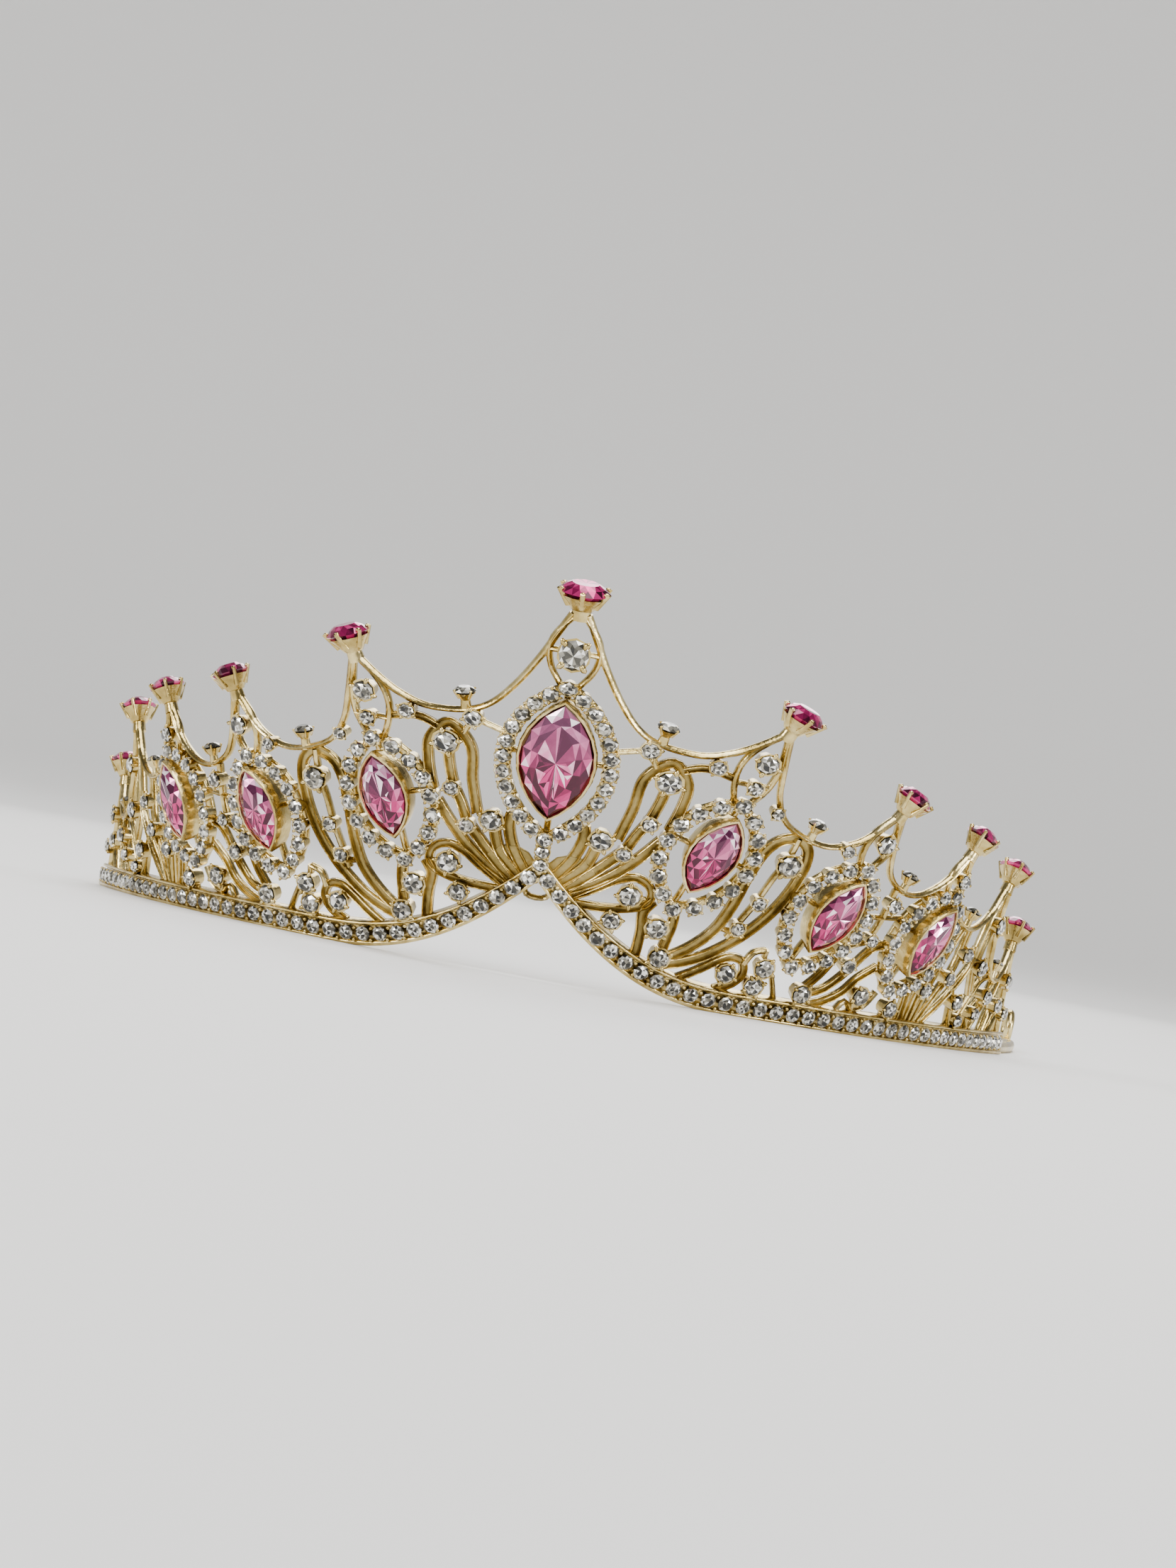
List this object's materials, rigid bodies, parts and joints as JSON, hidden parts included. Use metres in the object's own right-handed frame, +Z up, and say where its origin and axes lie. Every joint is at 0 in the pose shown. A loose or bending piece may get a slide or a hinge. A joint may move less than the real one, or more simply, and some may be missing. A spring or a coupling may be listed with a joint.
{
  "type": "tiara",
  "caption": "Openwork stage tiara: a leaning cast band with upright spikes, pink navettes in stone rings and a peaked base row.",
  "frame": {"origin": "middle of the footprint, on the surface that the band's lower edge stands on", "axes": "+Z up, -Y towards the front peak, +X to the right as seen from the front"},
  "size_m": [0.1346, 0.1054, 0.0477],
  "materials": {
    "gold_alloy": "polished pale gold plating",
    "set_stones": "foil-backed clear stones fused to a pale gold strip",
    "pink_glass": "foil-backed faceted glass",
    "clear_crystal": "foil-backed faceted glass"
  },
  "bodies": {
    "root": {"base_stones": "set_stones", "bud_stone_0_left": "clear_crystal", "bud_stone_0_right": "clear_crystal", "bud_stone_1_left": "clear_crystal", "bud_stone_1_right": "clear_crystal", "bud_stone_2_left": "clear_crystal", "bud_stone_2_right": "clear_crystal", "bud_stone_3_left": "clear_crystal", "bud_stone_3_right": "clear_crystal", "bud_stone_4_left": "clear_crystal", "bud_stone_4_right": "clear_crystal", "cast_frame": "gold_alloy", "crystal_arch_left": "clear_crystal", "crystal_arch_right": "clear_crystal", "crystal_leaf_left": "clear_crystal", "crystal_leaf_right": "clear_crystal", "crystal_palmette_left": "clear_crystal", "crystal_palmette_right": "clear_crystal", "crystal_petal_left": "clear_crystal", "crystal_petal_right": "clear_crystal", "crystal_post_foot_left": "clear_crystal", "crystal_post_foot_right": "clear_crystal", "crystal_post_left": "clear_crystal", "crystal_post_right": "clear_crystal", "navette_0": "pink_glass", "navette_1_left": "pink_glass", "navette_1_right": "pink_glass", "navette_2_left": "pink_glass", "navette_2_right": "pink_glass", "navette_3_left": "pink_glass", "navette_3_right": "pink_glass", "tip_stone_0": "pink_glass", "tip_stone_1_left": "pink_glass", "tip_stone_1_right": "pink_glass", "tip_stone_2_left": "pink_glass", "tip_stone_2_right": "pink_glass", "tip_stone_3_left": "pink_glass", "tip_stone_3_right": "pink_glass", "tip_stone_4_left": "pink_glass", "tip_stone_4_right": "pink_glass", "tip_stone_5_left": "pink_glass", "tip_stone_5_right": "pink_glass"}
  },
  "joints": []
}
